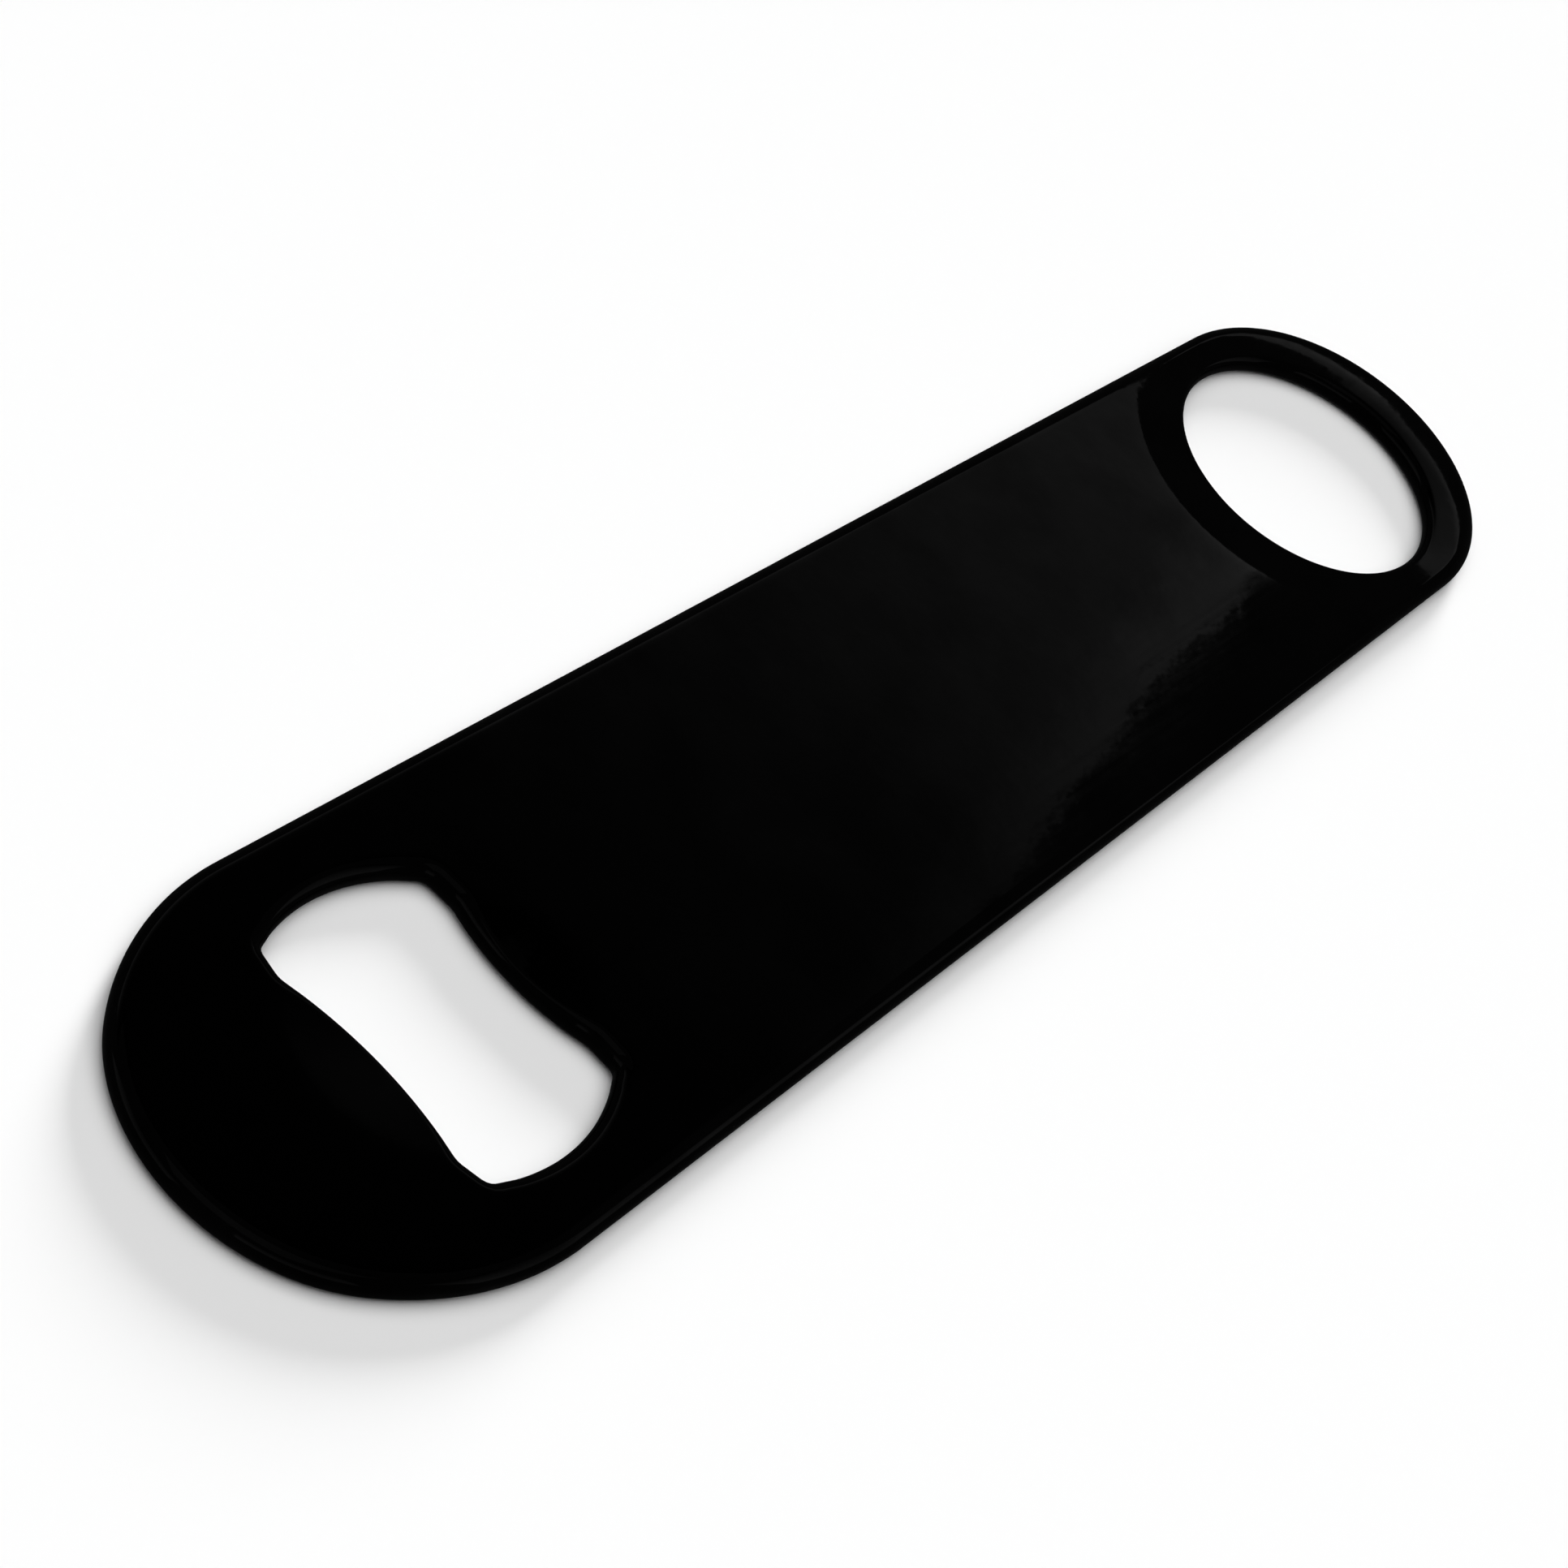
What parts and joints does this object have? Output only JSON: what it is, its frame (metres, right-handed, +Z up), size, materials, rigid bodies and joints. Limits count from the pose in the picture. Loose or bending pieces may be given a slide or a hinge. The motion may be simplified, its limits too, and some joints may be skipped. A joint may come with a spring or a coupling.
{
  "type": "bottle opener",
  "caption": "Flat bar-blade bottle opener: long tapered plate with a crown-cap cut-out in the wide round head and a finger ring hole at the narrow end, all in a gloss black coat.",
  "frame": {"origin": "middle of the flat underside, halfway along the blade", "axes": "+X along the blade from the opener head to the finger ring, +Y across the blade, +Z up through its thickness"},
  "size_m": [0.178, 0.0402, 0.0022],
  "materials": {
    "steel": "brushed stainless steel",
    "coating": "smooth gloss black polymer coat"
  },
  "bodies": {
    "root": {"steel_blade": "steel", "black_coating": "coating"}
  },
  "joints": []
}
